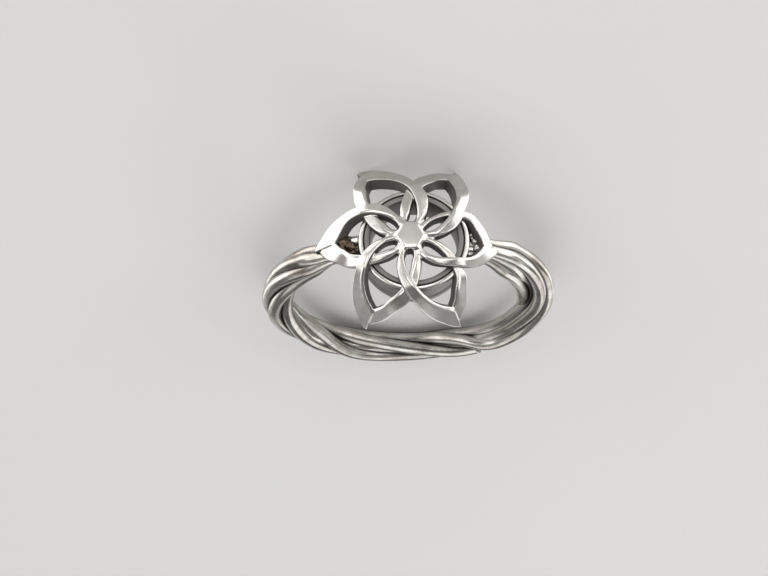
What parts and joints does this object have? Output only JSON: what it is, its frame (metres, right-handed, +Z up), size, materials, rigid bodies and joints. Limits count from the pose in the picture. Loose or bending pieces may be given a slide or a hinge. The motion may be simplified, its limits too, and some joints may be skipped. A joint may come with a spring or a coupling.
{
  "type": "flower ring",
  "caption": "Finger ring: a twisted bundle of silver strands carries an openwork woven flower on an open collar; it lies on its side, as set down.",
  "frame": {"origin": "on the floor, under the middle of the ring's box as it lies", "axes": "+Z up; the finger hole's axis lies in the YZ plane, tilted about 16 degrees from +Z; the flower faces -Y; +X runs across the flower"},
  "size_m": [0.0222, 0.0223, 0.0122],
  "materials": {
    "silver": null
  },
  "bodies": {
    "root": {"flower_ring": "silver"}
  },
  "joints": []
}
